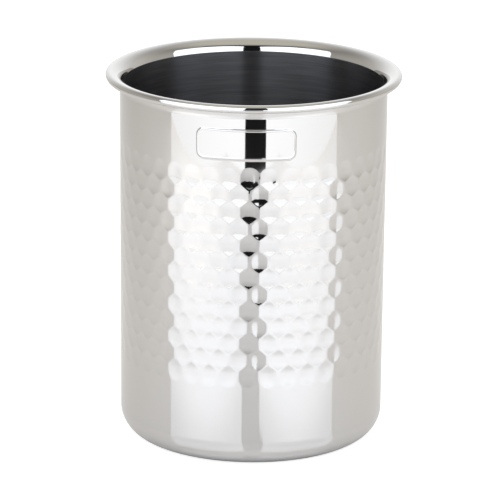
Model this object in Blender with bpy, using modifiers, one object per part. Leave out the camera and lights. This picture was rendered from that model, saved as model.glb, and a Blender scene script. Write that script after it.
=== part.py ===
"""A steel utensil holder: a brushed liner that hangs by its rolled lip in a hammered, polished shell.

Lengths are in metres, +Z is up, and the origin is the middle of the underside.
The front, with its raised panel, faces -Y. Azimuths are measured from the front, towards +X.
"""

import math

import bmesh
import bpy
from mathutils import Matrix, Vector

# Body
HEIGHT = 0.178                  # table to the top of the lip
BODY_RADIUS = 0.06345           # outside of the shell, just under its flare
BODY_DRAFT = 0.00065            # how much slimmer the shell is at its bottom corner
CORNER_RADIUS = 0.013           # rounding from the wall into the underside

# Sheets, and the clearance between pieces that touch
SHELL_WALL = 0.0008
LINER_WALL = 0.0005
PLATE_WALL = 0.0006
CLEARANCE = 0.0003

# Mouth
LIP_REACH = 0.0067              # how far the rolled lip stands out past the body
LIP_ROOM = 0.0017               # free height inside the roll, under the shell's flange
LIP_ROLL = math.radians(225)    # how far the liner's edge is rolled, from the top of the lip
FLARE_HEIGHT = 0.0076           # height over which the liner turns outward
FLARE_DROP = 0.0016             # how much lower the shell starts to turn outward

# Liner
FLOOR_HEIGHT = 0.007            # table to the floor that the utensils stand on
FLOOR_CORNER = 0.012            # rounding from the liner's wall into its floor

# Hammered band: staggered rows of six-sided dimples
FIRST_ROW_DROP = 0.0365         # top of the lip to the middle of the first row
LOWER_PLAIN = 0.0440            # table to the lowest place for the middle of a row
ROW_PITCH = 0.00797
DIMPLE_WIDTH = 0.0095
DIMPLE_DEPTH = 0.00035
FIRST_AZIMUTH = math.radians(1.4)

# Raised panel on the front of the collar, left blank
PANEL_WIDTH = 0.047
PANEL_TALL = 0.0146
PANEL_DROP = 0.0197             # top of the lip to the middle of the panel
PANEL_RISE = 0.0007
PANEL_CORNER = 0.003
PANEL_EDGE = 0.0004             # rounding of the panel's front edge

# Underside
FOOT_WIDTH = 0.0042             # flat ring that stands on the table
RECESS_DEPTH = 0.0015
LEDGE_WIDTH = 0.0045            # ledge inside the foot that the base plate is seated on
DISH_DEPTH = 0.0008             # how far the middle of the base plate is pressed up
DISH_RIM = 0.014                # flat border of the base plate, outside the dish
DISH_SLOPE = 0.002

# Fineness of the facets
DIMPLES_AROUND = round(2 * math.pi * BODY_RADIUS / DIMPLE_WIDTH)
ROUND_STEPS = 2 * DIMPLES_AROUND
FLARE_STEPS = 5
ROLL_STEPS = 8
CORNER_STEPS = 4
MERGE_DISTANCE = 0.000001
OVERRUN = 0.002                 # how far a cutter runs past what it cuts
SMOOTH_ANGLE = math.radians(35)

# Places that follow from the sizes
SEAM = SHELL_WALL + CLEARANCE + LINER_WALL
ROLL_RADIUS = (SEAM + LIP_ROOM + LINER_WALL) / 2
LIP_RADIUS = BODY_RADIUS + LIP_REACH - ROLL_RADIUS      # radius of the crest of the lip
LINER_TOP = HEIGHT - FLARE_HEIGHT
SHELL_TOP = LINER_TOP - FLARE_DROP
BASE_RADIUS = BODY_RADIUS - BODY_DRAFT
FOOT_OUTER = BASE_RADIUS - CORNER_RADIUS
FOOT_INNER = FOOT_OUTER - FOOT_WIDTH
LEDGE_INNER = FOOT_INNER - LEDGE_WIDTH
FIRST_ROW = HEIGHT - FIRST_ROW_DROP
ROW_COUNT = 1 + math.floor((FIRST_ROW - LOWER_PLAIN) / ROW_PITCH)
LAST_ROW = FIRST_ROW - (ROW_COUNT - 1) * ROW_PITCH
HALF_CELL = math.pi / DIMPLES_AROUND
CELL_REACH = ROW_PITCH * 2 / 3                          # middle of a dimple to its upper tip


def around(azimuth, radius, height):
    """The point at an azimuth from the front, a radius and a height."""
    return Vector((radius * math.sin(azimuth), -radius * math.cos(azimuth), height))


def wall_radius(height):
    """Outside radius of the shell's wall, which narrows a little towards the bottom corner."""
    share = (SHELL_TOP - height) / (SHELL_TOP - CORNER_RADIUS)
    return BODY_RADIUS - BODY_DRAFT * share


def arc(centre_radius, centre_height, reach, rise, start, end, steps):
    """Points (radius, height) on a round or oval arc, from one angle to another."""
    angles = [start + (end - start) * step / steps for step in range(steps + 1)]
    return [(centre_radius + reach * math.cos(a), centre_height + rise * math.sin(a)) for a in angles]


def clear_scene():
    """Removes every object of the open scene."""
    for thing in list(bpy.data.objects):
        bpy.data.objects.remove(thing, do_unlink=True)


def new_collection(name):
    """A collection with this name in the scene, made if it isn't there yet."""
    group = bpy.data.collections.get(name) or bpy.data.collections.new(name)
    if group.name not in bpy.context.scene.collection.children:
        bpy.context.scene.collection.children.link(group)
    return group


def steel(name, colour, roughness):
    """A bare metal material."""
    material = bpy.data.materials.new(name)
    material.use_nodes = True
    shader = material.node_tree.nodes["Principled BSDF"]
    shader.inputs["Base Color"].default_value = (*colour, 1)
    shader.inputs["Metallic"].default_value = 1
    shader.inputs["Roughness"].default_value = roughness
    material.diffuse_color = (*colour, 1)
    return material


def add_object(name, mesh, group):
    """Puts a mesh in the scene as a named object."""
    thing = bpy.data.objects.new(name, mesh)
    group.objects.link(thing)
    return thing


def profile_mesh(name, points, closed=False):
    """A profile of edges in the XZ plane, for a Screw modifier to turn."""
    mesh = bpy.data.meshes.new(name)
    count = len(points)
    edges = [(i, i + 1) for i in range(count - 1)]
    if closed:
        edges.append((count - 1, 0))
    mesh.from_pydata([(radius, 0, height) for radius, height in points], edges, [])
    return mesh


def turn(thing, steps):
    """Turns a profile once round the Z axis."""
    screw = thing.modifiers.new("turn", "SCREW")
    screw.steps = steps
    screw.render_steps = steps
    screw.use_merge_vertices = True
    screw.merge_threshold = MERGE_DISTANCE
    screw.use_smooth_shade = True
    return screw


def thicken(thing, wall):
    """Gives a sheet its wall, on the side away from the surface that shows."""
    solidify = thing.modifiers.new("wall", "SOLIDIFY")
    solidify.thickness = wall
    solidify.offset = -1
    solidify.use_even_offset = True
    return solidify


def shade(mesh, ridges):
    """Smooth shading, with creases along the ridges between dimples and at the sharp corners."""
    for face in mesh.faces:
        face.smooth = True
    for edge in mesh.edges:
        edge.smooth = edge.calc_face_angle(0) < SMOOTH_ANGLE
    for ridge in ridges:
        ridge.smooth = False


def hide_cutter(thing):
    """Marks a helper solid as a guide, which is no part of the object."""
    thing.hide_render = True
    thing.display_type = "WIRE"


# The shell's sheet: the outside first, then the inside, each grown ring by ring from the band

def add_dimple(mesh, azimuth, height):
    """One dimple of the band: a six-sided fan whose middle is pressed in. Returns that middle."""
    cell = bmesh.ops.create_circle(mesh, cap_ends=True, cap_tris=True, segments=6, radius=1)
    middle = min(cell["verts"], key=lambda vert: vert.co.length)
    for vert in cell["verts"]:
        across, up = vert.co.x, vert.co.y
        level = height + up * CELL_REACH
        bearing = azimuth + across * HALF_CELL / math.cos(math.pi / 6)
        vert.co = around(bearing, wall_radius(level), level)
    middle.co = around(azimuth, wall_radius(height) - DIMPLE_DEPTH, height)
    return middle


def hammered_band(mesh):
    """All the dimples, each row turned by half a dimple from the one above. Returns their ridges."""
    middles = set()
    for row in range(ROW_COUNT):
        for place in range(DIMPLES_AROUND):
            azimuth = FIRST_AZIMUTH + (2 * place + row % 2) * HALF_CELL
            middles.add(add_dimple(mesh, azimuth, FIRST_ROW - row * ROW_PITCH))
    bmesh.ops.remove_doubles(mesh, verts=mesh.verts, dist=MERGE_DISTANCE)
    return [edge for edge in mesh.edges if middles.isdisjoint(edge.verts)]


def open_border(mesh, above):
    """The open edges of the sheet above or below the middle of the band."""
    middle = (FIRST_ROW + LAST_ROW) / 2
    edges = [edge for edge in mesh.edges if edge.is_boundary]
    return [edge for edge in edges if (edge.verts[0].co.z > middle) == above]


def grow(mesh, border, outline):
    """Extrudes an open border of the sheet through the rings of an outline, and returns the last one."""
    for radius, height in outline:
        grown = bmesh.ops.extrude_edge_only(mesh, edges=border)["geom"]
        verts = {item for item in grown if isinstance(item, bmesh.types.BMVert)}
        for vert in verts:
            vert.co = around(math.atan2(vert.co.x, -vert.co.y), radius, height)
        edges = [item for item in grown if isinstance(item, bmesh.types.BMEdge)]
        border = [edge for edge in edges if verts.issuperset(edge.verts)]
    return border


def shell_flare(wall):
    """The shell's flare at a depth of wall into the sheet, from the wall up to the flange's edge."""
    reach = LIP_RADIUS - BODY_RADIUS + wall
    rise = HEIGHT - SEAM - SHELL_TOP + wall
    return arc(LIP_RADIUS, SHELL_TOP, reach, rise, math.pi, math.pi / 2, FLARE_STEPS)


def shell_corner(wall):
    """The shell's bottom corner at a depth of wall into the sheet, from the wall to the foot."""
    radius = CORNER_RADIUS - wall
    return arc(FOOT_OUTER, CORNER_RADIUS, radius, radius, 0, -math.pi / 2, CORNER_STEPS)


def shell_sheet():
    """The whole shell as one closed mesh."""
    mesh = bmesh.new()
    ridges = hammered_band(mesh)
    above = FIRST_ROW + ROW_PITCH
    below = LAST_ROW - ROW_PITCH
    flange = grow(mesh, open_border(mesh, True), [(wall_radius(above), above)] + shell_flare(0))
    underside = [(FOOT_INNER, 0), (FOOT_INNER, RECESS_DEPTH), (LEDGE_INNER, RECESS_DEPTH)]
    outside = [(wall_radius(below), below)] + shell_corner(0) + underside
    ledge = grow(mesh, open_border(mesh, False), outside)
    foot_back = FOOT_INNER + SHELL_WALL
    ledge_back = RECESS_DEPTH + SHELL_WALL
    inside = list(reversed(shell_flare(SHELL_WALL))) + shell_corner(SHELL_WALL)
    inside += [(foot_back, SHELL_WALL), (foot_back, ledge_back), (LEDGE_INNER, ledge_back)]
    inner_edge = grow(mesh, flange, inside)
    bmesh.ops.bridge_loops(mesh, edges=inner_edge + ledge)
    bmesh.ops.recalc_face_normals(mesh, faces=mesh.faces)
    shade(mesh, ridges)
    return mesh


def panel_block(group):
    """The raised panel: a block with rounded corners, trimmed to a thin curved pad by a turned ring."""
    middle = HEIGHT - PANEL_DROP
    outer = BODY_RADIUS + PANEL_RISE
    inner = wall_radius(middle) - SHELL_WALL / 2
    top = middle + PANEL_TALL / 2 + OVERRUN
    bottom = top - PANEL_TALL - 2 * OVERRUN
    section = [(outer, top), (outer, bottom), (inner, bottom), (inner, top)]
    ring = add_object("panel_ring", profile_mesh("panel_ring", section, closed=True), group)
    turn(ring, ROUND_STEPS)

    depth = BODY_RADIUS
    mesh = bmesh.new()
    size = Matrix.Diagonal((PANEL_WIDTH, depth, PANEL_TALL, 1))
    place = Matrix.Translation((0, -(outer + OVERRUN - depth / 2), middle))
    bmesh.ops.create_cube(mesh, size=1, matrix=place @ size)
    corners = [edge for edge in mesh.edges if edge.verts[0].co.y != edge.verts[1].co.y]
    bmesh.ops.bevel(mesh, geom=corners, offset=PANEL_CORNER, segments=CORNER_STEPS, profile=0.5,
                    affect="EDGES")
    data = bpy.data.meshes.new("panel_block")
    mesh.to_mesh(data)
    mesh.free()
    block = add_object("panel_block", data, group)
    trim = block.modifiers.new("trim", "BOOLEAN")
    trim.operation = "INTERSECT"
    trim.solver = "EXACT"
    trim.object = ring
    soften = block.modifiers.new("soften", "BEVEL")
    soften.width = PANEL_EDGE
    soften.segments = 2
    soften.limit_method = "ANGLE"
    soften.angle_limit = SMOOTH_ANGLE
    for helper in (ring, block):
        hide_cutter(helper)
    return block


def outer_shell(group, cutters):
    """The polished, hammered outer wall, with its flange, raised panel, bottom corner and foot."""
    mesh = shell_sheet()
    data = bpy.data.meshes.new("outer_shell")
    mesh.to_mesh(data)
    mesh.free()
    shell = add_object("outer_shell", data, group)
    join = shell.modifiers.new("panel", "BOOLEAN")
    join.operation = "UNION"
    join.solver = "EXACT"
    join.object = panel_block(cutters)
    data.materials.append(steel("polished_steel", (0.78, 0.77, 0.75), 0.06))
    return shell


def inner_liner(group):
    """The brushed liner: floor, wall, flare and the lip rolled down over the shell's flange."""
    bottom_radius = BASE_RADIUS - SEAM
    top_radius = BODY_RADIUS - SEAM
    corner_radius = bottom_radius - FLOOR_CORNER
    corner_height = FLOOR_HEIGHT + FLOOR_CORNER
    floor = [(0, FLOOR_HEIGHT)]
    corner = arc(corner_radius, corner_height, FLOOR_CORNER, FLOOR_CORNER, -math.pi / 2, 0, CORNER_STEPS)
    reach = LIP_RADIUS - top_radius
    flare = arc(LIP_RADIUS, LINER_TOP, reach, FLARE_HEIGHT, math.pi, math.pi / 2, FLARE_STEPS)
    roll_end = math.pi / 2 - LIP_ROLL
    roll = arc(LIP_RADIUS, HEIGHT - ROLL_RADIUS, ROLL_RADIUS, ROLL_RADIUS, math.pi / 2, roll_end, ROLL_STEPS)
    liner = add_object("inner_liner", profile_mesh("inner_liner", floor + corner + flare + roll[1:]), group)
    turn(liner, ROUND_STEPS)
    thicken(liner, LINER_WALL)
    liner.data.materials.append(steel("brushed_steel", (0.62, 0.62, 0.61), 0.3))
    return liner


def base_plate(group):
    """The pressed plate that closes the underside, seated against the ledge inside the foot."""
    level = RECESS_DEPTH - CLEARANCE - PLATE_WALL
    edge = FOOT_INNER - CLEARANCE
    dish_edge = edge - DISH_RIM
    dish_level = level + DISH_DEPTH
    outline = [(edge, level), (dish_edge, level), (dish_edge - DISH_SLOPE, dish_level), (0, dish_level)]
    plate = add_object("base_plate", profile_mesh("base_plate", outline), group)
    turn(plate, ROUND_STEPS)
    thicken(plate, PLATE_WALL)
    plate.data.materials.append(steel("plain_steel", (0.66, 0.66, 0.65), 0.25))
    return plate


def main():
    """Builds the utensil holder."""
    clear_scene()
    group = new_collection("utensil_holder")
    cutters = new_collection("cutters")
    outer_shell(group, cutters)
    inner_liner(group)
    base_plate(group)


main()
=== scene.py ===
# %% [markdown]
# # A hammered steel utensil holder
# This is a round kitchen crock made of three pieces of sheet steel. A polished outer shell carries a
# hammered band, a raised panel and a rounded bottom corner. A brushed liner hangs inside it by a flared
# mouth with a rolled lip. A plate closes the underside.
#
# Polished steel has hardly any colour of its own: it shows the room. So half of this lesson is about
# shapes with clean curves, and the other half is about the studio that they mirror.
#
# The packed model is the fixed frame. Every size below is in metres, in that frame: +Z is up, the origin
# is the middle of the underside, and the front of the crock, with its panel, faces -Y.

# %% Load the frame
import math

import bmesh
import bpy
from mathutils import Matrix, Vector


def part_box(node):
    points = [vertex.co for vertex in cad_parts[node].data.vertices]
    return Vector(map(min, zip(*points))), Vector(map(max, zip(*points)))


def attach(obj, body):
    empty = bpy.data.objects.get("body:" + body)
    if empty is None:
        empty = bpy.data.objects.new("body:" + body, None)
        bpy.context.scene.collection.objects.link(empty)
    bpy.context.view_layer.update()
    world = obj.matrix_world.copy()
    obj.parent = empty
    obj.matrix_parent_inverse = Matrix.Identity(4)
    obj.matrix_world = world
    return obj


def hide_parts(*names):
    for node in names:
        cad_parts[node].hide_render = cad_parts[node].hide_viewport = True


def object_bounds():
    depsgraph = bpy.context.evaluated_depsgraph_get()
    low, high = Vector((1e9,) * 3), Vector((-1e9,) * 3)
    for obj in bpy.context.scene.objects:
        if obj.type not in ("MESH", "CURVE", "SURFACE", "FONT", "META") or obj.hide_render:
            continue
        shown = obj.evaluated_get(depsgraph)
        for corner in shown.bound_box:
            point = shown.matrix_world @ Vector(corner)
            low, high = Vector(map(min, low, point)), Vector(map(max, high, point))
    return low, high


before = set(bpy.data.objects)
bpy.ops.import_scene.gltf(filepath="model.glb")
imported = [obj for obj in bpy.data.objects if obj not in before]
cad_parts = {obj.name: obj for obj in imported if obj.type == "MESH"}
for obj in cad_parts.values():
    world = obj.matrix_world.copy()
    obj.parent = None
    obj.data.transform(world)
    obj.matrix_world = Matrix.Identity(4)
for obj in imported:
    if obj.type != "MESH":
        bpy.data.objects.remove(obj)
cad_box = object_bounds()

print("the model's nodes:", sorted(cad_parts))

# %% [markdown]
# ## Sizes
# The overall sizes come from the frame: the height is the top of the model, the lip's reach is its
# greatest radius, and the plate's place is that of its node. The rest are the workshop sizes of the crock,
# nearly all of them the ones that the solid model was made from.

# %% Sizes of the crock
MM = 1000                       # millimetres in a metre, for what is printed

HEIGHT = cad_box[1][2]
LIP_OUTSIDE = cad_box[1][0]
BODY_RADIUS = 0.06345           # outside of the shell, just under its flare
BASE_RADIUS = 0.06280           # outside of the shell, just above its bottom corner
CORNER_RADIUS = 0.013

SHELL_WALL = 0.0008
LINER_WALL = 0.0005
CLEARANCE = 0.0003              # between two sheets that touch
SEAM = SHELL_WALL + CLEARANCE + LINER_WALL

ROLL_RADIUS = 0.0019
LIP_RADIUS = LIP_OUTSIDE - ROLL_RADIUS
LIP_ROLL = math.radians(225)
SHELL_TOP = HEIGHT - 0.0079     # where the shell's wall turns out into its flare
FLARE_FOOT = HEIGHT - 0.0066    # the same for the liner

FOOT_WIDTH = 0.0042             # flat ring that stands on the table
LEDGE_WIDTH = 0.0045            # ledge inside it, for the base plate
FOOT_OUTER = BASE_RADIUS - CORNER_RADIUS
FOOT_INNER = FOOT_OUTER - FOOT_WIDTH
LEDGE_INNER = FOOT_INNER - LEDGE_WIDTH
RECESS_DEPTH = 0.0015
FLOOR_HEIGHT = 0.007
FLOOR_CORNER = 0.012

print(f"{HEIGHT * MM:.1f} mm tall, {2 * LIP_OUTSIDE * MM:.1f} mm across the lip")

# %% [markdown]
# ## Turned sheets
# Nearly everything here is round, so it can be drawn as a profile, a list of points (radius, height), and
# turned about the Z axis. Blender's Screw modifier does that. Here the rings are made in a few lines of
# Python instead, because the shell's rings also have to follow the scalloped edge of the hammered band.
#
# A mirror shows every kink. Where a curve meets a straight wall, smooth shading would bend the whole
# straight face a little, so the profile gets an extra point close to the curve that takes the bend.

# %% Helpers for turned shapes
BEND_ROOM = 0.0004              # how close to a curve the straight wall gets its extra point
MERGE = 0.000002


def around(azimuth, radius, height):
    """The point at an azimuth from the front (towards +X), a radius and a height."""
    return Vector((radius * math.sin(azimuth), -radius * math.cos(azimuth), height))


def wall_radius(height):
    """Outside radius of the shell's wall, which narrows a little towards the bottom corner."""
    share = (SHELL_TOP - height) / (SHELL_TOP - CORNER_RADIUS)
    return BODY_RADIUS - (BODY_RADIUS - BASE_RADIUS) * share


def arc(centre, reach, rise, start, end, steps):
    """Points (radius, height) on a round or oval arc about a centre, from one angle to another."""
    angles = [math.radians(start + (end - start) * step / steps) for step in range(steps + 1)]
    return [(centre[0] + reach * math.cos(a), centre[1] + rise * math.sin(a)) for a in angles]


def ring(mesh, places):
    """A closed ring of vertices."""
    return [mesh.verts.new(place) for place in places]


def bridge(mesh, lower, upper, slot=0):
    """A band of four-sided faces between two rings with equally many vertices."""
    count = len(lower)
    for here in range(count):
        there = (here + 1) % count
        face = mesh.faces.new((lower[here], lower[there], upper[there], upper[here]))
        face.material_index = slot


def add_object(name, data):
    """A new object in the scene."""
    thing = bpy.data.objects.new(name, data)
    bpy.context.scene.collection.objects.link(thing)
    return thing


def finish_mesh(name, mesh, materials, crease=40):
    """Turns a bmesh into a shaded object of the crock."""
    bmesh.ops.remove_doubles(mesh, verts=mesh.verts, dist=MERGE)
    bmesh.ops.recalc_face_normals(mesh, faces=mesh.faces)
    data = bpy.data.meshes.new(name)
    mesh.to_mesh(data)
    mesh.free()
    data.shade_smooth()
    data.set_sharp_from_angle(angle=math.radians(crease))
    for material in materials:
        data.materials.append(material)
    print(f"{name}: {len(data.vertices)} vertices, {len(data.polygons)} faces")
    return add_object(name, data)


print(f"halfway up, the wall stands {wall_radius(HEIGHT / 2) * MM:.2f} mm from the axis")

# %% [markdown]
# ## Shader sums
# A finish is easier to read as a sum than as a web of nodes. `Wire` wraps a shader socket, so that an
# expression such as `1 - lines * 0.2` adds its Math nodes by itself. Each operator has its reflected form
# too, because Python asks the right-hand value when the left-hand one is a plain number.

# %% Wires
class Wire:
    """A shader socket that can be used in sums."""

    def __init__(self, net, socket):
        self.net = net
        self.socket = socket

    def other(self, name):
        """Another output of the same node."""
        return Wire(self.net, self.socket.node.outputs[name])

    def maths(self, operation, *values):
        """One Math node."""
        return self.net.node("Math", {"operation": operation}, dict(enumerate(values)))

    def __add__(self, other):
        return self.maths("ADD", self, other)

    def __radd__(self, other):
        return self.maths("ADD", other, self)

    def __sub__(self, other):
        return self.maths("SUBTRACT", self, other)

    def __rsub__(self, other):
        return self.maths("SUBTRACT", other, self)

    def __mul__(self, other):
        return self.maths("MULTIPLY", self, other)

    def __rmul__(self, other):
        return self.maths("MULTIPLY", other, self)

    def __truediv__(self, other):
        return self.maths("DIVIDE", self, other)

    def __rtruediv__(self, other):
        return self.maths("DIVIDE", other, self)

    def hypot(self, other):
        """The distance that two lengths at a right angle span."""
        return self.maths("POWER", self * self + other * other, 0.5)

    def angle(self, other):
        """The angle, in radians, whose tangent is this value over the other."""
        return self.maths("ARCTAN2", self, other)

    def absolute(self):
        """The value without its sign."""
        return self.maths("ABSOLUTE", self)

    def between(self, low, high):
        """0 below low, 1 above high, and a smooth step between them."""
        settings = {"interpolation_type": "SMOOTHSTEP"}
        return self.net.node("MapRange", settings, {"Value": self, "From Min": low, "From Max": high})


print("a wire also knows:", ", ".join(name for name in vars(Wire) if not name.startswith("_")))

# %% [markdown]
# `Net` wraps the node tree of a material or a world. Its method `node` adds a node of any kind: it takes
# the type, the settings, which are set first, and the values or wires of the sockets. A small trial shows
# what a short sum comes to.

# %% Nets
class Net:
    """The node tree of a material or a world."""

    def __init__(self, owner):
        owner.use_nodes = True
        self.name = owner.name
        self.tree = owner.node_tree
        self.tree.nodes.clear()

    def node(self, kind, settings=None, sockets=None, output=0):
        """Adds a node and returns its output as a wire. Settings are set before the sockets."""
        made = self.tree.nodes.new("ShaderNode" + kind)
        for name, value in (settings or {}).items():
            if name == "stops":
                ramp = made.color_ramp.elements
                while len(ramp) < len(value):
                    ramp.new(1)
                for stop, (place, colour) in zip(ramp, value):
                    stop.position = place
                    stop.color = (*colour, 1)
            else:
                setattr(made, name, value)
        for name, value in (sockets or {}).items():
            if isinstance(value, Wire):
                self.tree.links.new(value.socket, made.inputs[name])
            elif value is not None:
                made.inputs[name].default_value = value
        return Wire(self, made.outputs[output]) if made.outputs else made

    def mix(self, share, first, second):
        """A colour between two colours."""
        first = (*first, 1) if isinstance(first, tuple) else first
        second = (*second, 1) if isinstance(second, tuple) else second
        return self.node("Mix", {"data_type": "RGBA"}, {"Factor": share, 6: first, 7: second}, output=2)

    def close(self, shader, kind="OutputMaterial"):
        """Shows the last shader, and prints how many nodes the tree has."""
        self.node(kind, {}, {"Surface": shader})
        print(f"{self.name}: {len(self.tree.nodes)} nodes")


def finish_named(name):
    """A new material and its net."""
    material = bpy.data.materials.new(name)
    return material, Net(material)


trial, trial_net = finish_named("trial")
trial_sum = 1 - trial_net.node("TexNoise") * 0.2
last_step = trial_sum.socket.node.operation
print("1 - noise * 0.2 takes", len(trial_net.tree.nodes), "nodes, and ends with", last_step)
bpy.data.materials.remove(trial)

# %% [markdown]
# ## The finish of polished steel
# The shell, the flare and the lip were buffed to a mirror. Steel mirrors about seven tenths of the light,
# slightly less of the blue. What keeps a mirror from looking like a computer's is its faults: the buffing
# wheel leaves a faint cloudiness and very fine lines, and the sheet isn't perfectly even. So the roughness
# wanders a little, and a bump of a few thousandths of a millimetre bends the reflections softly.

# %% Polished steel
STEEL = (0.725, 0.72, 0.715)
CLOUDED_STEEL = tuple(share * 0.985 for share in STEEL)
CLOUD_SCALE = 38.0              # clouds to the metre
STREAK_SCALE = (420.0, 420.0, 9.0)        # buffing lines: close together sideways, long up the wall
CLOUD_PART, STREAK_PART = 0.7, 0.3        # what each of them adds to the bump
BUFFING_STRENGTH, BUFFING_DEPTH = 0.25, 0.00002
MIRROR_ROUGHNESS = 0.025
CLOUD_ROUGHNESS = 0.03          # what the densest cloud adds


def polished_steel():
    """Mirror-polished sheet, with a trace of buffing marks."""
    material, net = finish_named("polished_steel")
    place = net.node("TexCoord", output="Object")
    clouds = net.node("TexNoise", {}, {"Vector": place, "Scale": CLOUD_SCALE, "Detail": 3.0})
    upright = net.node("Mapping", {}, {"Vector": place, "Scale": STREAK_SCALE})
    streaks = net.node("TexNoise", {}, {"Vector": upright, "Scale": 1.0, "Detail": 2.0})
    height = clouds * CLOUD_PART + streaks * STREAK_PART
    relief = {"Height": height, "Strength": BUFFING_STRENGTH, "Distance": BUFFING_DEPTH}
    net.close(net.node("BsdfPrincipled", {}, {
        "Base Color": net.mix(clouds, CLOUDED_STEEL, STEEL),
        "Metallic": 1.0,
        "Roughness": MIRROR_ROUGHNESS + clouds * CLOUD_ROUGHNESS,
        "Normal": net.node("Bump", {}, relief),
    }))
    return material


POLISHED = polished_steel()

# %% [markdown]
# ## The finish of brushed steel
# The inside was brushed round and round. Each fine groove runs level, so it spreads a reflection up and
# down and leaves it sharp sideways: the tall white boards of the studio become upright grey bands. That is
# what the anisotropic value of the shader does. The lines themselves are noise, squeezed along the height
# of the wall and along the radius of the floor.
#
# No brush scores a sheet evenly: most of the metal lies level between the grooves, and the rest is torn
# up along them. So two metals are mixed, a level one that mirrors more sharply and a torn one.

# %% Brushed steel
# Both colours are darker than the polished steel: that darkness is painted shade for the inside of the
# crock. The tone between them follows the brush lines, which the metal has under any lamp.
SHADED_DARK_METAL, SHADED_BRIGHT_METAL = (0.30, 0.30, 0.31), (0.43, 0.43, 0.44)
FINE_LINES, BROAD_LINES = 2600.0, 500.0   # brush lines to the metre
FINE_RUN, BROAD_RUN = 3.0, 1.4            # how often they change on their way round, to the radian
FINE_PART, BROAD_PART = 0.6, 0.4          # what each of them adds to the mixture
COLOUR_RANGE = (0.3, 0.7)       # the part of the mixture that spans the two colours
BRUSH_STRENGTH, BRUSH_DEPTH = 0.3, 0.000006
LEVEL_PART = {"roughness": 0.155, "added": 0.06, "stretch": 1.0}
TORN_PART = {"roughness": 0.278, "added": 0.02, "stretch": 0.75}
TORN_SHARE = 0.3                # share of the surface that the grooves have torn up
QUARTER_TURN = 0.25             # turns the stretch of the reflection upright


def brushed_steel():
    """Sheet with fine level brush lines."""
    material, net = finish_named("brushed_steel")
    place = net.node("SeparateXYZ", {}, {0: net.node("TexCoord", output="Object")})
    x, y, z = place.other("X"), place.other("Y"), place.other("Z")
    bearing = y.angle(x)
    across = z - x.hypot(y)
    fine = net.node("CombineXYZ", {}, {0: bearing * FINE_RUN, 1: across * FINE_LINES})
    broad = net.node("CombineXYZ", {}, {0: bearing * BROAD_RUN, 1: across * BROAD_LINES})
    lines = net.node("TexNoise", {}, {"Vector": fine, "Scale": 1.0, "Detail": 3.0})
    bands = net.node("TexNoise", {}, {"Vector": broad, "Scale": 1.0, "Detail": 2.0})
    mixed = lines * FINE_PART + bands * BROAD_PART
    colour = net.mix(mixed.between(*COLOUR_RANGE), SHADED_DARK_METAL, SHADED_BRIGHT_METAL)
    relief = {"Height": bands, "Strength": BRUSH_STRENGTH, "Distance": BRUSH_DEPTH}
    bump = net.node("Bump", {}, relief)
    metals = [
        net.node("BsdfPrincipled", {}, {
            "Base Color": colour,
            "Metallic": 1.0,
            "Roughness": part["roughness"] + mixed * part["added"],
            "Anisotropic": part["stretch"],
            "Anisotropic Rotation": QUARTER_TURN,
            "Normal": bump,
        })
        for part in (LEVEL_PART, TORN_PART)
    ]
    net.close(net.node("MixShader", {}, {0: TORN_SHARE, 1: metals[0], 2: metals[1]}))
    return material


BRUSHED = brushed_steel()

# %% [markdown]
# ## The hammered band
# The band has 13 rows of shallow dimples, 42 to a row, each row turned by half a dimple from the one
# above. Where they crowd each other, their edges straighten into six-sided cells.
#
# The band could be a fine even grid pushed in and out, but the ridges between cells would then cross the
# grid and show as saw teeth in the mirror. So each cell is its own small net of rings, like a spider's web,
# whose outermost ring is the ridge. Neighbours share their ridge, so the webs join into one sheet.
#
# The outline of a web is drawn first. Towards a neighbour its sides are straight. Above the first row and
# below the last one there is no neighbour, and the outline bulges out to the round edge of the dish.

# %% Sizes of the band
DIMPLES_AROUND = 42
ROW_COUNT = 13
ROW_PITCH = 0.00797
FIRST_ROW = HEIGHT - 0.0365
LAST_ROW = FIRST_ROW - (ROW_COUNT - 1) * ROW_PITCH
HALF_CELL = math.pi / DIMPLES_AROUND
HALF_WIDTH = HALF_CELL * BODY_RADIUS
CELL_REACH = ROW_PITCH * 2 / 3
DISH_REACH = math.hypot(HALF_WIDTH, CELL_REACH / 2)     # middle of a dimple to the corners of its cell

print(f"{ROW_COUNT} rows of {DIMPLES_AROUND} dimples, each {2 * HALF_WIDTH * MM:.1f} mm wide")

# %% The outline of one web
WEB_CORNERS = [(0, 1), (1, 0.5), (1, -0.5), (0, -1), (-1, -0.5), (-1, 0.5)]
TOP_SIDES, BOTTOM_SIDES, UPRIGHT_SIDES = (0, 5), (2, 3), (1, 4)
SIDE_STEPS = 3
RIDGE_RISE = 0.00003            # how far the upright ridges stand above their ends


def cell_outline(open_top, open_bottom):
    """The outline of a cell as (across, up, depth), in metres. An open side bulges to the dish's edge."""
    outline = []
    for side, (start, end) in enumerate(zip(WEB_CORNERS, WEB_CORNERS[1:] + WEB_CORNERS[:1])):
        is_open = (open_top and side in TOP_SIDES) or (open_bottom and side in BOTTOM_SIDES)
        for step in range(SIDE_STEPS):
            share = step / SIDE_STEPS
            across = (start[0] + (end[0] - start[0]) * share) * HALF_WIDTH
            up = (start[1] + (end[1] - start[1]) * share) * CELL_REACH
            depth = -RIDGE_RISE * 4 * share * (1 - share) if side in UPRIGHT_SIDES else 0
            if is_open or (up == CELL_REACH and open_top) or (up == -CELL_REACH and open_bottom):
                up = math.copysign(math.sqrt(DISH_REACH**2 - across**2), up)
                depth = 0
            outline.append((across, up, depth))
    return outline


print("points round a web:", len(cell_outline(open_top=False, open_bottom=False)))

# %% [markdown]
# ### The dish in each cell
# What a mirror shows is not how deep a dish is but how its slope changes. A punch with a straight edge
# leaves a rounded valley: a short floor, then two nearly flat flanks, each of which mirrors one patch of
# the room. A ball would leave a bowl, whose slope changes everywhere, and its picture would be a small
# bright dot instead. So the dish is a valley across, with ends that rise above and below.

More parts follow.
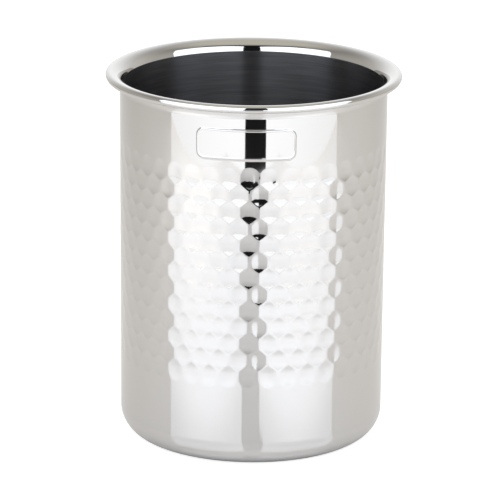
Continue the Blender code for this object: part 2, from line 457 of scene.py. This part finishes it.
# %% The dish
DISH_DEPTH = 0.000235
FLANK_TILT, FLANK_BEND = 2.2, 0.65        # degrees of slope, and mm over which the floor turns into it
FLANK_CURVE = 0.43              # how much the flanks still bend further out
END_TILT, END_BEND = 3.5, 1.2   # the same for the two ends
END_START = 1.2                 # mm from the middle of the dish to where the ends begin


def valley(distance, tilt, bend):
    """Height of a rounded valley's flank, in degrees times mm, at a distance in mm from its middle."""
    return tilt * (distance - bend * (1 - math.exp(-distance / bend)))


def dish_rise(across, up):
    """How far the dish rises from its middle. Across it is nearly a valley with two straight flanks."""
    across, up = abs(across) * MM, max(abs(up) * MM - END_START, 0)
    flanks = valley(across, FLANK_TILT, FLANK_BEND) + FLANK_CURVE * across**2
    return math.radians(flanks + valley(up, END_TILT, END_BEND)) / MM


print(f"a dish rises {dish_rise(HALF_WIDTH, 0) * MM:.3f} mm from its middle to its side")

# %% [markdown]
# ### The webs on the wall
# Each web is laid on the round wall ring by ring. Its rings follow the dish, except that the last ones
# turn towards the ridge. A ridge isn't a knife edge: the web's outermost strip is narrow, so smooth
# shading rounds the ridge over that width only.
#
# Nor is the band perfectly even. The real punch drifted a little sideways and struck deeper on one side
# than on the other, so both change smoothly with the azimuth. It also struck less deep from row to row.

# %% The dimples
FIRST_AZIMUTH = math.radians(1.7)
RING_SHARES = (1.0, 0.87, 0.74, 0.5, 0.3, 0.12)
RIDGE_ZONE = 0.72               # from this share on, a ring starts to turn into the ridge
RIDGE_POWER = 1.5               # and it turns faster the further out it lies
FIRST_DEPTH, LAST_DEPTH = 1.08, 0.82      # depth of the first row and of the last, as shares
DRIFT = math.radians(1.5)       # the punch drifts sideways by up to this much
DRIFT_MIDDLE = math.radians(3.1)          # and not at all at this azimuth
DRIFT_RATE = 1.5                # how fast the drift comes and goes with the azimuth
UNEVEN_DEPTH = 0.22             # how much deeper it strikes on one side, and shallower on the other


def drift(azimuth):
    """How far the punch has drifted at an azimuth."""
    return DRIFT * math.sin(DRIFT_RATE * (azimuth - DRIFT_MIDDLE)) ** 2


def add_dimple(mesh, azimuth, height, outline, strength):
    """Sets one web on the wall: rings that sink from the ridge towards the middle of the dimple."""
    outer = None
    for share in RING_SHARES:
        turn = max(share - RIDGE_ZONE, 0) / (1 - RIDGE_ZONE)
        places = []
        for across, up, ridge in outline:
            missing = DISH_DEPTH - ridge - dish_rise(across, up)
            depth = DISH_DEPTH - dish_rise(across * share, up * share) - missing * turn**RIDGE_POWER
            depth *= strength
            level = height + up * share
            bearing = azimuth + across * share / BODY_RADIUS
            places.append(around(bearing + drift(bearing), wall_radius(level) - depth, level))
        inner = ring(mesh, places)
        if outer:
            bridge(mesh, outer, inner)
        outer = inner
    deepest = wall_radius(height) - DISH_DEPTH * strength
    middle = mesh.verts.new(around(azimuth + drift(azimuth), deepest, height))
    for here, vert in enumerate(outer):
        mesh.faces.new((outer[here - 1], vert, middle))


def hammered_band(mesh):
    """All the dimples of the band."""
    for row in range(ROW_COUNT):
        outline = cell_outline(open_top=row == 0, open_bottom=row == ROW_COUNT - 1)
        strength = FIRST_DEPTH + (LAST_DEPTH - FIRST_DEPTH) * row / (ROW_COUNT - 1)
        for place in range(DIMPLES_AROUND):
            azimuth = FIRST_AZIMUTH + (2 * place + row % 2) * HALF_CELL
            uneven = 1 + UNEVEN_DEPTH * math.sin(2 * azimuth)
            add_dimple(mesh, azimuth, FIRST_ROW - row * ROW_PITCH, outline, strength * uneven)


print("dimples in the band:", ROW_COUNT * DIMPLES_AROUND)

# %% [markdown]
# ## The rest of the shell
# Above the band the wall is smooth, and at the top it flares into a flange that the liner's lip is rolled
# over. Below it runs down into the round bottom corner, the flat ring that stands on the table and a ledge
# for the base plate. The sheet has a real thickness, so its inside is drawn too, as one continuous strip
# of rings from the top edge of the band, over the flange, down the inside and back up to the band.

# %% Profiles of the shell
COLUMNS = 2 * SIDE_STEPS * DIMPLES_AROUND
FLARE_STEPS = 16
CORNER_STEPS = 18


def scallop(above):
    """The scalloped edge of the band, above or below it, as (azimuth, height) for each column."""
    row = 0 if above else ROW_COUNT - 1
    level = FIRST_ROW if above else LAST_ROW
    places = []
    for column in range(COLUMNS):
        across = (column % (2 * SIDE_STEPS) - SIDE_STEPS) / SIDE_STEPS * HALF_WIDTH
        rise = math.sqrt(DISH_REACH**2 - across**2)
        azimuth = FIRST_AZIMUTH + (row % 2 - 1) * HALF_CELL + column * HALF_CELL / SIDE_STEPS
        places.append((azimuth + drift(azimuth), level + rise if above else level - rise))
    return places


def shell_flare(depth):
    """The shell's flare at a depth into the sheet, from the wall up to the flange's edge."""
    reach = LIP_RADIUS - BODY_RADIUS + depth
    rise = HEIGHT - SEAM - SHELL_TOP + depth
    return arc((LIP_RADIUS, SHELL_TOP), reach, rise, 180, 90, FLARE_STEPS)


def shell_corner(depth):
    """The shell's bottom corner at a depth into the sheet, from the wall to the foot."""
    radius = CORNER_RADIUS - depth
    return arc((FOOT_OUTER, CORNER_RADIUS), radius, radius, 0, -90, CORNER_STEPS)


def shell_strip():
    """The profile of the strip, from just above the band to just below it."""
    above = FIRST_ROW + DISH_REACH + 2 * BEND_ROOM
    below = LAST_ROW - DISH_REACH - 2 * BEND_ROOM
    top = SHELL_TOP - BEND_ROOM
    bottom = CORNER_RADIUS + BEND_ROOM
    foot_back = FOOT_INNER + SHELL_WALL
    ledge_back = RECESS_DEPTH + SHELL_WALL
    profile = [(wall_radius(above), above), (wall_radius(top), top)] + shell_flare(0)
    profile += list(reversed(shell_flare(SHELL_WALL)[::2])) + shell_corner(SHELL_WALL)[::2]
    profile += [(foot_back, SHELL_WALL), (foot_back, ledge_back), (LEDGE_INNER, ledge_back)]
    profile += [(LEDGE_INNER, RECESS_DEPTH), (FOOT_INNER, RECESS_DEPTH), (FOOT_INNER, 0)]
    profile += [(FOOT_OUTER - BEND_ROOM, 0)] + list(reversed(shell_corner(0)))
    return profile + [(wall_radius(bottom), bottom), (wall_radius(below), below)]


print(f"{len(shell_strip())} rings of {COLUMNS} points make up the rest of the shell")

# %% [markdown]
# The strip's rings have a point for each point of the band's scalloped edge, so they join it without a
# gap. Two more rings close to the band, one above it and one below, take the bend from the scallops to
# the plain wall.

# %% The outer shell
def outer_shell():
    """The polished outer wall."""
    mesh = bmesh.new()
    hammered_band(mesh)
    upper, lower = scallop(above=True), scallop(above=False)
    rings = [
        ring(mesh, [around(azimuth, wall_radius(level + shift), level + shift) for azimuth, level in edge])
        for edge, shift in ((upper, 0), (upper, BEND_ROOM), (lower, -BEND_ROOM), (lower, 0))
    ]
    strip = [ring(mesh, [around(azimuth, *point) for azimuth, level in upper]) for point in shell_strip()]
    strip = rings[:2] + strip + rings[2:]
    for first, second in zip(strip, strip[1:]):
        bridge(mesh, first, second)
    return finish_mesh("hammered_shell", mesh, [POLISHED])


shell = outer_shell()
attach(shell, "root")
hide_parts("outer_shell")

# %% [markdown]
# ## The raised panel
# A low panel with round corners stands out of the front of the collar. It is blank. A Boolean could join a
# block to the shell, but the mirror would show its coarse corners. A fine sheet is laid over the wall
# instead: its height above the wall is worked out from how far each point lies inside the outline, and
# its lines crowd together where the edge bends. A pressed edge stands out a trace more than the field
# inside it, and in the mirror that trace is a fine bright line.

# %% Sizes of the panel
PANEL_WIDTH = 0.0476
PANEL_TALL = 0.0155
PANEL_MIDDLE = HEIGHT - 0.02025
PANEL_RISE = 0.0005
RIM_RISE = 0.0001               # the panel's edge stands out a trace more than its middle
RIM_WIDTH = 0.0005
PANEL_CORNER = 0.004
TOP_SLOPE = 0.0008              # width of the sloping edge above and at the sides
BOTTOM_SLOPE = 0.0018           # the edge below is softer
PANEL_SKIRT = 0.0002            # how far the sheet runs on under the wall's surface

print(f"the panel is {PANEL_WIDTH * MM:.1f} by {PANEL_TALL * MM:.1f} mm and {PANEL_RISE * MM:.1f} mm high")

# %% The panel's sheet
FINE_ZONE = 0.0032              # how far in from the edge the sheet's lines crowd together
FINE_STEP = 0.00014
COARSE_STEP = 0.0011


def soft_step(share):
    """0 below 0, 1 above 1, and a smooth step between them."""
    share = min(max(share, 0), 1)
    return share * share * (3 - 2 * share)


def crowded(half):
    """Places from -half to half that crowd near both ends."""
    places = [half - FINE_STEP * step for step in range(int(FINE_ZONE / FINE_STEP))]
    steps = math.ceil(places[-1] / COARSE_STEP)
    places += [places[-1] * (1 - step / steps) for step in range(1, steps + 1)]
    return sorted({-place for place in places} | set(places))


def inside_outline(across, up):
    """How far a point lies inside the panel's outline. Negative outside."""
    over = abs(across) - (PANEL_WIDTH / 2 - PANEL_CORNER)
    beyond = abs(up) - (PANEL_TALL / 2 - PANEL_CORNER)
    corner = math.hypot(max(over, 0), max(beyond, 0)) + min(max(over, beyond), 0)
    return PANEL_CORNER - corner


def panel_height(across, up):
    """Height of the panel above the wall: a soft step along its outline."""
    low = min(max(-up / (PANEL_TALL / 2), 0), 1)
    slope = TOP_SLOPE + (BOTTOM_SLOPE - TOP_SLOPE) * low * low
    inside = inside_outline(across, up)
    return PANEL_RISE * soft_step(inside / slope) - RIM_RISE * soft_step((inside - slope) / RIM_WIDTH)


def raised_panel():
    """The blank raised panel on the front."""
    mesh = bmesh.new()
    columns = crowded(PANEL_WIDTH / 2 + PANEL_SKIRT)
    rows = crowded(PANEL_TALL / 2 + PANEL_SKIRT)
    grid = []
    for up in rows:
        level = PANEL_MIDDLE + up
        line = []
        for across in columns:
            sunk = PANEL_SKIRT if inside_outline(across, up) < 0 else 0
            radius = wall_radius(level) + panel_height(across, up) - sunk / 2
            line.append(mesh.verts.new(around(across / BODY_RADIUS, radius, level)))
        grid.append(line)
    for low, high in zip(grid, grid[1:]):
        for column in range(len(columns) - 1):
            mesh.faces.new((low[column], low[column + 1], high[column + 1], high[column]))
    return finish_mesh("front_panel", mesh, [POLISHED], crease=80)


panel = raised_panel()
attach(panel, "root")
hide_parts("outer_shell")

# %% [markdown]
# ## The liner
# The liner is a deep cup. Its wall turns outward at the mouth in an oval flare and is rolled over into the
# lip. The flare and the lip were polished together with the shell, so they take the mirror finish, while
# the wall and the floor are brushed. One turned profile draws all of it: the inside first, from the middle
# of the floor to the end of the roll, then the same curves one sheet further out, back to the middle.
# Between the brushed wall and the bright flare lies a crisp bend, where the two finishes meet.

# %% The liner's profile
ROLL_STEPS = 26
BEND_HEIGHT = 0.0012            # the wall runs on this far beside the flare's curve, then bends into it
BEND_STEPS = 3                  # the first steps of the curve that the bend replaces
SHORT = 0.00012                 # length of the two narrow rings that keep the bend crisp
BEND_LEAN = 0.35                # how far the upper one leans outward, as a share of its length
FLOOR_SHARES = (0.02, 0.3, 0.6, 0.9)      # radii of the rings on the flat floor
FLOOR_STEPS = 10


def liner_profile(depth):
    """The liner's sheet at a depth behind its inside, as the brushed points and the polished points."""
    top = BODY_RADIUS - SEAM
    bottom = BASE_RADIUS - SEAM
    corner = (bottom - FLOOR_CORNER, FLOOR_HEIGHT + FLOOR_CORNER)
    radius = FLOOR_CORNER + depth
    brushed = [(corner[0] * share, corner[1] - radius) for share in FLOOR_SHARES]
    brushed += arc(corner, radius, radius, -90, 0, FLOOR_STEPS)
    bend = FLARE_FOOT + BEND_HEIGHT
    brushed += [(top + depth, bend - SHORT), (top + depth, bend)]
    reach = LIP_RADIUS - top - depth
    rise = HEIGHT - FLARE_FOOT - depth
    flare = arc((LIP_RADIUS, FLARE_FOOT), reach, rise, 180, 90, FLARE_STEPS)
    turn = ROLL_RADIUS - depth
    end = 90 - math.degrees(LIP_ROLL)
    roll = arc((LIP_RADIUS, HEIGHT - ROLL_RADIUS), turn, turn, 90, end, ROLL_STEPS)
    start = (top + depth + SHORT * BEND_LEAN, bend + SHORT)
    return brushed, [start] + flare[BEND_STEPS:] + roll[1:]


print("rings of the liner, brushed and polished:", *[len(points) for points in liner_profile(0)])

# %% The inner liner
LINER_COLUMNS = 180


def inner_liner():
    """The brushed liner with its polished mouth."""
    mesh = bmesh.new()
    inside, mouth = liner_profile(0)
    back, under_mouth = liner_profile(LINER_WALL)
    profile = [(point, 1) for point in inside] + [(point, 0) for point in mouth]
    profile += [(point, 0) for point in reversed(under_mouth)] + [(point, 1) for point in reversed(back)]
    azimuths = [2 * math.pi * column / LINER_COLUMNS for column in range(LINER_COLUMNS)]
    rings = [ring(mesh, [around(azimuth, *point) for azimuth in azimuths]) for point, slot in profile]
    for index in range(len(rings) - 1):
        bridge(mesh, rings[index], rings[index + 1], max(profile[index][1], profile[index + 1][1]))
    for rim in (rings[0], rings[-1]):
        mesh.faces.new(rim).material_index = 1
    return finish_mesh("brushed_liner", mesh, [POLISHED, BRUSHED], crease=60)


liner = inner_liner()
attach(liner, "root")
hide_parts("inner_liner")

# %% [markdown]
# ## The base plate
# The plate under the crock isn't seen in use. It is thin sheet with a dish pressed into its middle, which
# stiffens it, and a plain satin finish with the faint rings of the lathe that trimmed it. The rings are
# noise that changes with the distance from the axis alone.

# %% Satin steel
GREY_METAL, PALE_METAL = (0.60, 0.595, 0.585), (0.68, 0.675, 0.665)
LATHE_LINES = 2600.0            # to the metre
LATHE_STRENGTH, LATHE_DEPTH = 0.4, 0.00002
SATIN_ROUGHNESS, LINE_ROUGHNESS = 0.26, 0.1


def satin_steel():
    """Plain sheet with faint turning rings."""
    material, net = finish_named("satin_steel")
    place = net.node("SeparateXYZ", {}, {0: net.node("TexCoord", output="Object")})
    radius = place.other("X").hypot(place.other("Y"))
    rings = net.node("TexNoise", {"noise_dimensions": "1D"}, {"W": radius * LATHE_LINES, "Detail": 2.0})
    relief = {"Height": rings, "Strength": LATHE_STRENGTH, "Distance": LATHE_DEPTH}
    net.close(net.node("BsdfPrincipled", {}, {
        "Base Color": net.mix(rings, GREY_METAL, PALE_METAL),
        "Metallic": 1.0,
        "Roughness": SATIN_ROUGHNESS + rings * LINE_ROUGHNESS,
        "Normal": net.node("Bump", {}, relief),
    }))
    return material


SATIN = satin_steel()

# %% The base plate
PLATE_COLUMNS = 96
PLATE_RISE = 0.0008             # how far the dish is pressed up
PLATE_STEP = 2 * PLATE_RISE     # width of the soft step round the dish
DISHED_SHARE = 0.69             # radius of the dish, as a share of the plate's
SOFT_STEPS = 8
DISH_SHARES = (0.6, 0.3, 0.02)  # radii of the rings inside the dish


def base_plate():
    """The pressed plate, with a rounded step between its border and its dish."""
    low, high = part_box("base_plate")
    edge, level, thick = high.x, low.z, high.z - low.z - PLATE_RISE
    step = DISHED_SHARE * edge
    below = [(edge, level)]
    for count in range(SOFT_STEPS + 1):
        share = count / SOFT_STEPS
        below.append((step - PLATE_STEP * share, level + PLATE_RISE * soft_step(share)))
    below += [(step * share, level + PLATE_RISE) for share in DISH_SHARES]
    profile = below + [(radius, height + thick) for radius, height in reversed(below)]
    mesh = bmesh.new()
    azimuths = [2 * math.pi * column / PLATE_COLUMNS for column in range(PLATE_COLUMNS)]
    rings = [ring(mesh, [around(azimuth, *point) for azimuth in azimuths]) for point in profile]
    for first, second in zip(rings, rings[1:]):
        bridge(mesh, first, second)
    for rim in (rings[0], rings[-1]):
        mesh.faces.new(rim)
    return finish_mesh("dished_plate", mesh, [SATIN])


plate = base_plate()
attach(plate, "root")
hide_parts("base_plate")

# %% [markdown]
# ## The camera
# The camera stands almost 2 m away and looks down at the crock with a long lens, so the rim shows as an
# oval and the sides stay nearly straight. It stands a little to the right of the panel's middle, and it
# leans by half a degree.

# %% Camera
CAMERA_DISTANCE = 1.972
CAMERA_TARGET = Vector((0, 0, 0.09))
CAMERA_AZIMUTH = math.radians(3.1)
CAMERA_ELEVATION = math.radians(16.176)
CAMERA_LEAN = math.radians(0.536)
FOCAL_PIXELS = 4115.5
CENTRE_PIXELS = (252.26, 249.0)
FRAME_PIXELS = 500
SENSOR_WIDTH = 36
NEAR_LIMIT = 0.05

camera_data = bpy.data.cameras.new("camera")
camera_data.sensor_width = SENSOR_WIDTH
camera_data.lens = FOCAL_PIXELS / FRAME_PIXELS * SENSOR_WIDTH
camera_data.shift_x = (FRAME_PIXELS / 2 - CENTRE_PIXELS[0]) / FRAME_PIXELS
camera_data.shift_y = (CENTRE_PIXELS[1] - FRAME_PIXELS / 2) / FRAME_PIXELS
camera_data.clip_start = NEAR_LIMIT
camera = add_object("camera", camera_data)
forward = CAMERA_DISTANCE * math.cos(CAMERA_ELEVATION)
upward = CAMERA_DISTANCE * math.sin(CAMERA_ELEVATION)
camera.location = around(CAMERA_AZIMUTH, forward, CAMERA_TARGET.z + upward)
looking = (CAMERA_TARGET - camera.location).to_track_quat("-Z", "Y")
camera.rotation_euler = (looking.to_matrix() @ Matrix.Rotation(CAMERA_LEAN, 3, "Z")).to_euler()
bpy.context.scene.camera = camera
print(f"the lens is {camera_data.lens:.0f} mm")

# %% [markdown]
# ## The studio
# A round mirror shows nearly the whole room, so the room has to be right. It is a plain product studio. A
# tall white board stands on each side of the camera, with a dark gap between them where the camera is. A
# narrow white card and a dim grey card stand low in that gap. The crock stands on a smooth white table
# whose front edge ends short of the boards. Around and behind is a light warm grey, and above is a dim
# ceiling.
#
# Azimuths in this section are counted from the camera's own direction, because the boards are set up from
# there. A board's outline is given as azimuths and heights, and is cast onto its flat plane.

# %% Places in the studio
TABLE_FRONT = 0.58              # axis of the crock to the front edge of the table
BOARD_FOOT = -0.12
BOARD_TOP = 0.895

# A board: the azimuth it faces from, its distance, its strength, and its outline as (azimuth, height).
BOARDS = {
    "left_board": (-39.75, 0.591, 1.0, [
        (-6.6, BOARD_FOOT), (-71.6, BOARD_FOOT), (-71.6, 0.2), (-75.5, 0.42), (-86, 0.97), (-6.3, BOARD_TOP),
    ]),
    "right_board": (40.7, 0.585, 1.0, [
        (10.2, BOARD_FOOT), (73, BOARD_FOOT), (73, 0.2), (80, 0.42), (89, 0.97), (11.1, BOARD_TOP),
    ]),
    "low_card": (40.7, 0.580, 1.0, [(6.9, 0.03), (11.5, 0.03), (11.5, 0.2), (6.9, 0.2)]),
    "grey_card": (0, 0.66, 0.17, [(-7.5, 0.07), (7.0, 0.07), (7.0, 0.26), (-7.5, 0.26)]),
}


def studio_point(azimuth, distance, height):
    """A point of the studio, by its azimuth in degrees from the camera's direction."""
    return around(CAMERA_AZIMUTH + math.radians(azimuth), distance, height)


print("boards and cards:", ", ".join(BOARDS))

# %% [markdown]
# ### Light on the boards
# An evenly white board would make flat white stripes. These are lit as boards in a studio are: a little
# less at the far side, brighter in a band near the table and again near the top, and a little cooler than
# the warm room. The low band is what the glossy table shows, and through it the lower part of the crock.
# Each of these is a soft step over the board's height or width, and they simply add up.

# %% The white boards
BOARD_BRIGHT = (1.365, 1.375, 1.385)
BOARD_DIM = (1.18, 1.185, 1.19)
FAR_SIDE = (0.15, 0.75)         # the light falls off between these distances from the middle, in metres
BOARD_PLAIN, BOARD_COOL = (1.0, 1.0, 1.0), (0.96, 1.0, 1.07)
COOL_FROM = (0.02, 0.07)        # heights between which the white turns cooler
BAND_START, BAND_END = (0.04, 0.11), (0.14, 0.20)       # heights of the low band's soft edges
BAND_MIDDLE, BAND_HALF = 0.36, 0.30       # the low band is brightest here, and fades over this width
TOP_START = (0.3, 0.5)          # heights between which the light near the top comes up
GLOW_EDGE, GLOW_MIDDLE, GLOW_TOP = 0.30, 0.42, 0.45


def white_board(name, facing, distance, strength, outline):
    """A flat board that gives light, a little less at its far side. Only the camera doesn't see it."""
    corners = []
    for azimuth, height in outline:
        reach = distance / math.cos(math.radians(azimuth - facing))
        corners.append(studio_point(azimuth, reach, height))
    data = bpy.data.meshes.new(name)
    data.from_pydata(corners, [], [tuple(range(len(corners)))])
    material, net = finish_named(name)
    place = net.node("SeparateXYZ", {}, {0: net.node("TexCoord", output="Object")})
    sideways = place.other("X").absolute()
    height = place.other("Z")
    from_middle = (sideways - BAND_MIDDLE) / BAND_HALF
    hump = 1 - from_middle * from_middle
    low_band = height.between(*BAND_START) - height.between(*BAND_END)
    top_band = height.between(*TOP_START)
    shine = (1 + low_band * (GLOW_EDGE + GLOW_MIDDLE * hump) + top_band * GLOW_TOP) * strength
    white = net.mix(sideways.between(*FAR_SIDE), BOARD_BRIGHT, BOARD_DIM)
    tint = net.mix(height.between(*COOL_FROM), BOARD_PLAIN, BOARD_COOL)
    white = net.node("VectorMath", {"operation": "MULTIPLY"}, {0: white, 1: tint})
    light = net.node("VectorMath", {"operation": "SCALE"}, {0: white, "Scale": shine})
    glow = net.node("Emission", {}, {"Color": light, "Strength": 1.0})
    net.close(glow)
    data.materials.append(material)
    board = add_object(name, data)
    board.visible_camera = False


for board_name, settings in BOARDS.items():
    white_board(board_name, *settings)

# %% [markdown]
# ### The table
# The table is smooth and white. To the steel and to the light it is what it is, a glossy white sheet. To
# the camera it is the white background, with only the soft shadow under the crock, so what the camera
# sees is part glow and part plain white paint.

# %% The table
TABLE_HALF = 3.0
TABLE_WHITE = (0.80, 0.773, 0.745, 1.0)
GLOSS_ROUGHNESS = 0.06
GLOSS_INDEX = 2.0               # more than a lacquer has, so that the crock's foot mirrors bright
GROUND_PAINT = (0.80, 0.80, 0.80, 1.0)
GROUND_GLOW = 1.7
GLOW_SHARE = 0.5


def table_finish():
    """Glossy white for the steel, and a white ground with the crock's shadow for the camera."""
    material, net = finish_named("white_table")
    lacquer = {"Base Color": TABLE_WHITE, "Roughness": GLOSS_ROUGHNESS, "IOR": GLOSS_INDEX}
    glossy = net.node("BsdfPrincipled", {}, lacquer)
    paint = net.node("BsdfDiffuse", {}, {"Color": GROUND_PAINT})
    glow = net.node("Emission", {}, {"Color": (1.0, 1.0, 1.0, 1.0), "Strength": GROUND_GLOW})
    ground = net.node("MixShader", {}, {0: GLOW_SHARE, 1: paint, 2: glow})
    seen = net.node("LightPath", output="Is Camera Ray")
    net.close(net.node("MixShader", {}, {0: seen, 1: glossy, 2: ground}))
    return material


left, right, front, back = -TABLE_HALF, TABLE_HALF, -TABLE_FRONT, TABLE_HALF
table_corners = [(left, front, 0), (right, front, 0), (right, back, 0), (left, back, 0)]
table_data = bpy.data.meshes.new("table")
table_data.from_pydata(table_corners, [], [(0, 1, 2, 3)])
table_data.materials.append(table_finish())
table = add_object("table", table_data)
table.rotation_euler.z = CAMERA_AZIMUTH

# %% [markdown]
# ### The lamps
# The boards and the room make every picture in the steel, so the lamps may not show in it. They light the
# table, which the steel does mirror, and their size makes the shadow under the crock soft. Two stand low
# at the front edge, two higher at the sides, and a very wide one hangs above.

# %% The lamps
# A lamp: its azimuth, distance and height, its width, and its power.
LAMPS = {
    "front_left_lamp": (-48, 0.56, 0.14, 0.36, 0.36),
    "front_right_lamp": (43, 0.56, 0.14, 0.36, 0.27),
    "left_lamp": (-84, 0.85, 0.50, 0.60, 0.95),
    "right_lamp": (84, 0.85, 0.50, 0.60, 1.45),
    "ceiling_lamp": (0, 0, 1.6, 2.6, 10.2),
}

for lamp_name, (azimuth, distance, height, width, power) in LAMPS.items():
    lamp_data = bpy.data.lights.new(lamp_name, "AREA")
    lamp_data.shape = "DISK"
    lamp_data.size = width
    lamp_data.energy = power
    lamp = add_object(lamp_name, lamp_data)
    lamp.location = studio_point(azimuth, distance, height)
    lamp.visible_camera = False
    lamp.visible_glossy = False
    print(f"{lamp_name}: {power} W, {width} m wide")

# %% [markdown]
# ### The room
# The room is the world's colour, which depends only on the direction one looks in: light warm grey all
# round, dark towards the camera, dim above. The camera itself sees plain white.

# %% Colours of the room
ROOM_RING = [                   # (azimuth from the camera in degrees, radiance, warmth)
    (-180, 1.12, 0.0),
    (-165, 0.98, 0.0),
    (-150, 0.78, 0.2),
    (-132, 0.57, 0.6),
    (-115, 0.48, 0.8),
    (-64, 0.40, 0.8),
    (-60, 0.012, 0.0),
    (60, 0.012, 0.0),
    (64, 0.45, 0.8),
    (100, 0.50, 0.8),
    (118, 0.61, 0.8),
    (135, 0.67, 0.5),
    (150, 0.82, 0.2),
    (165, 1.00, 0.0),
    (180, 1.12, 0.0),
]
WARM = (1.0, 0.95, 0.85)
CEILING = (0.61, 0.58, 0.50)


def ring_stops():
    """The stops of a ramp that runs once round the room, from behind the crock to behind it again."""
    stops = []
    for azimuth, radiance, warmth in ROOM_RING:
        tint = [radiance * (1 + (share - 1) * warmth) for share in WARM]
        stops.append((azimuth / 360 + 0.5, tint))
    return stops


print("colours round the room:", len(ring_stops()))

# %% [markdown]
# A direction's azimuth picks the colour from that ring. Its steepness then dims the wall towards its top,
# and blends it into the ceiling. In front, that blend is a little narrower than elsewhere.

# %% The room
WALL_DIMS = (math.radians(12), math.radians(52))
DIM_SHARE = 0.38
CEILING_START, CEILING_END = 0.77, 1.22   # steepness in radians where the ceiling begins and is full
FRONT_RAISE, FRONT_LOWER = 0.07, 0.06     # how much these move in front
FRONT_RANGE = (0.2, 0.9)        # what counts as in front: cosines of the azimuth
BLACK, WHITE = (0.0, 0.0, 0.0), (1.0, 1.0, 1.0)


def studio_room():
    """The world: what lies beyond the boards and the table."""
    world = bpy.data.worlds.new("studio")
    bpy.context.scene.world = world
    net = Net(world)
    look = net.node("SeparateXYZ", {}, {0: net.node("TexCoord", output="Generated")})
    x, y, z = look.other("X"), look.other("Y"), look.other("Z")
    ahead, right = around(CAMERA_AZIMUTH, 1, 0), around(CAMERA_AZIMUTH + math.pi / 2, 1, 0)
    forward, sideward = x * ahead.x + y * ahead.y, x * right.x + y * right.y
    level = x.hypot(y)
    turns = sideward.angle(forward) / (2 * math.pi)
    steepness = z.angle(level)
    ring_colour = net.node("ValToRGB", {"stops": ring_stops()}, {"Fac": turns + 0.5})
    wall = net.mix(steepness.between(*WALL_DIMS) * DIM_SHARE, ring_colour, BLACK)
    front = (forward / level).between(*FRONT_RANGE)
    high = steepness.between(front * FRONT_RAISE + CEILING_START, CEILING_END - front * FRONT_LOWER)
    colour = net.mix(high, wall, CEILING)
    colour = net.mix(net.node("LightPath", output="Is Camera Ray"), colour, WHITE)
    ground = net.node("Background", {}, {"Color": colour, "Strength": 1.0})
    net.close(ground, "OutputWorld")


studio_room()
bpy.context.scene.view_settings.view_transform = "Standard"

# %% [markdown]
# ## Done
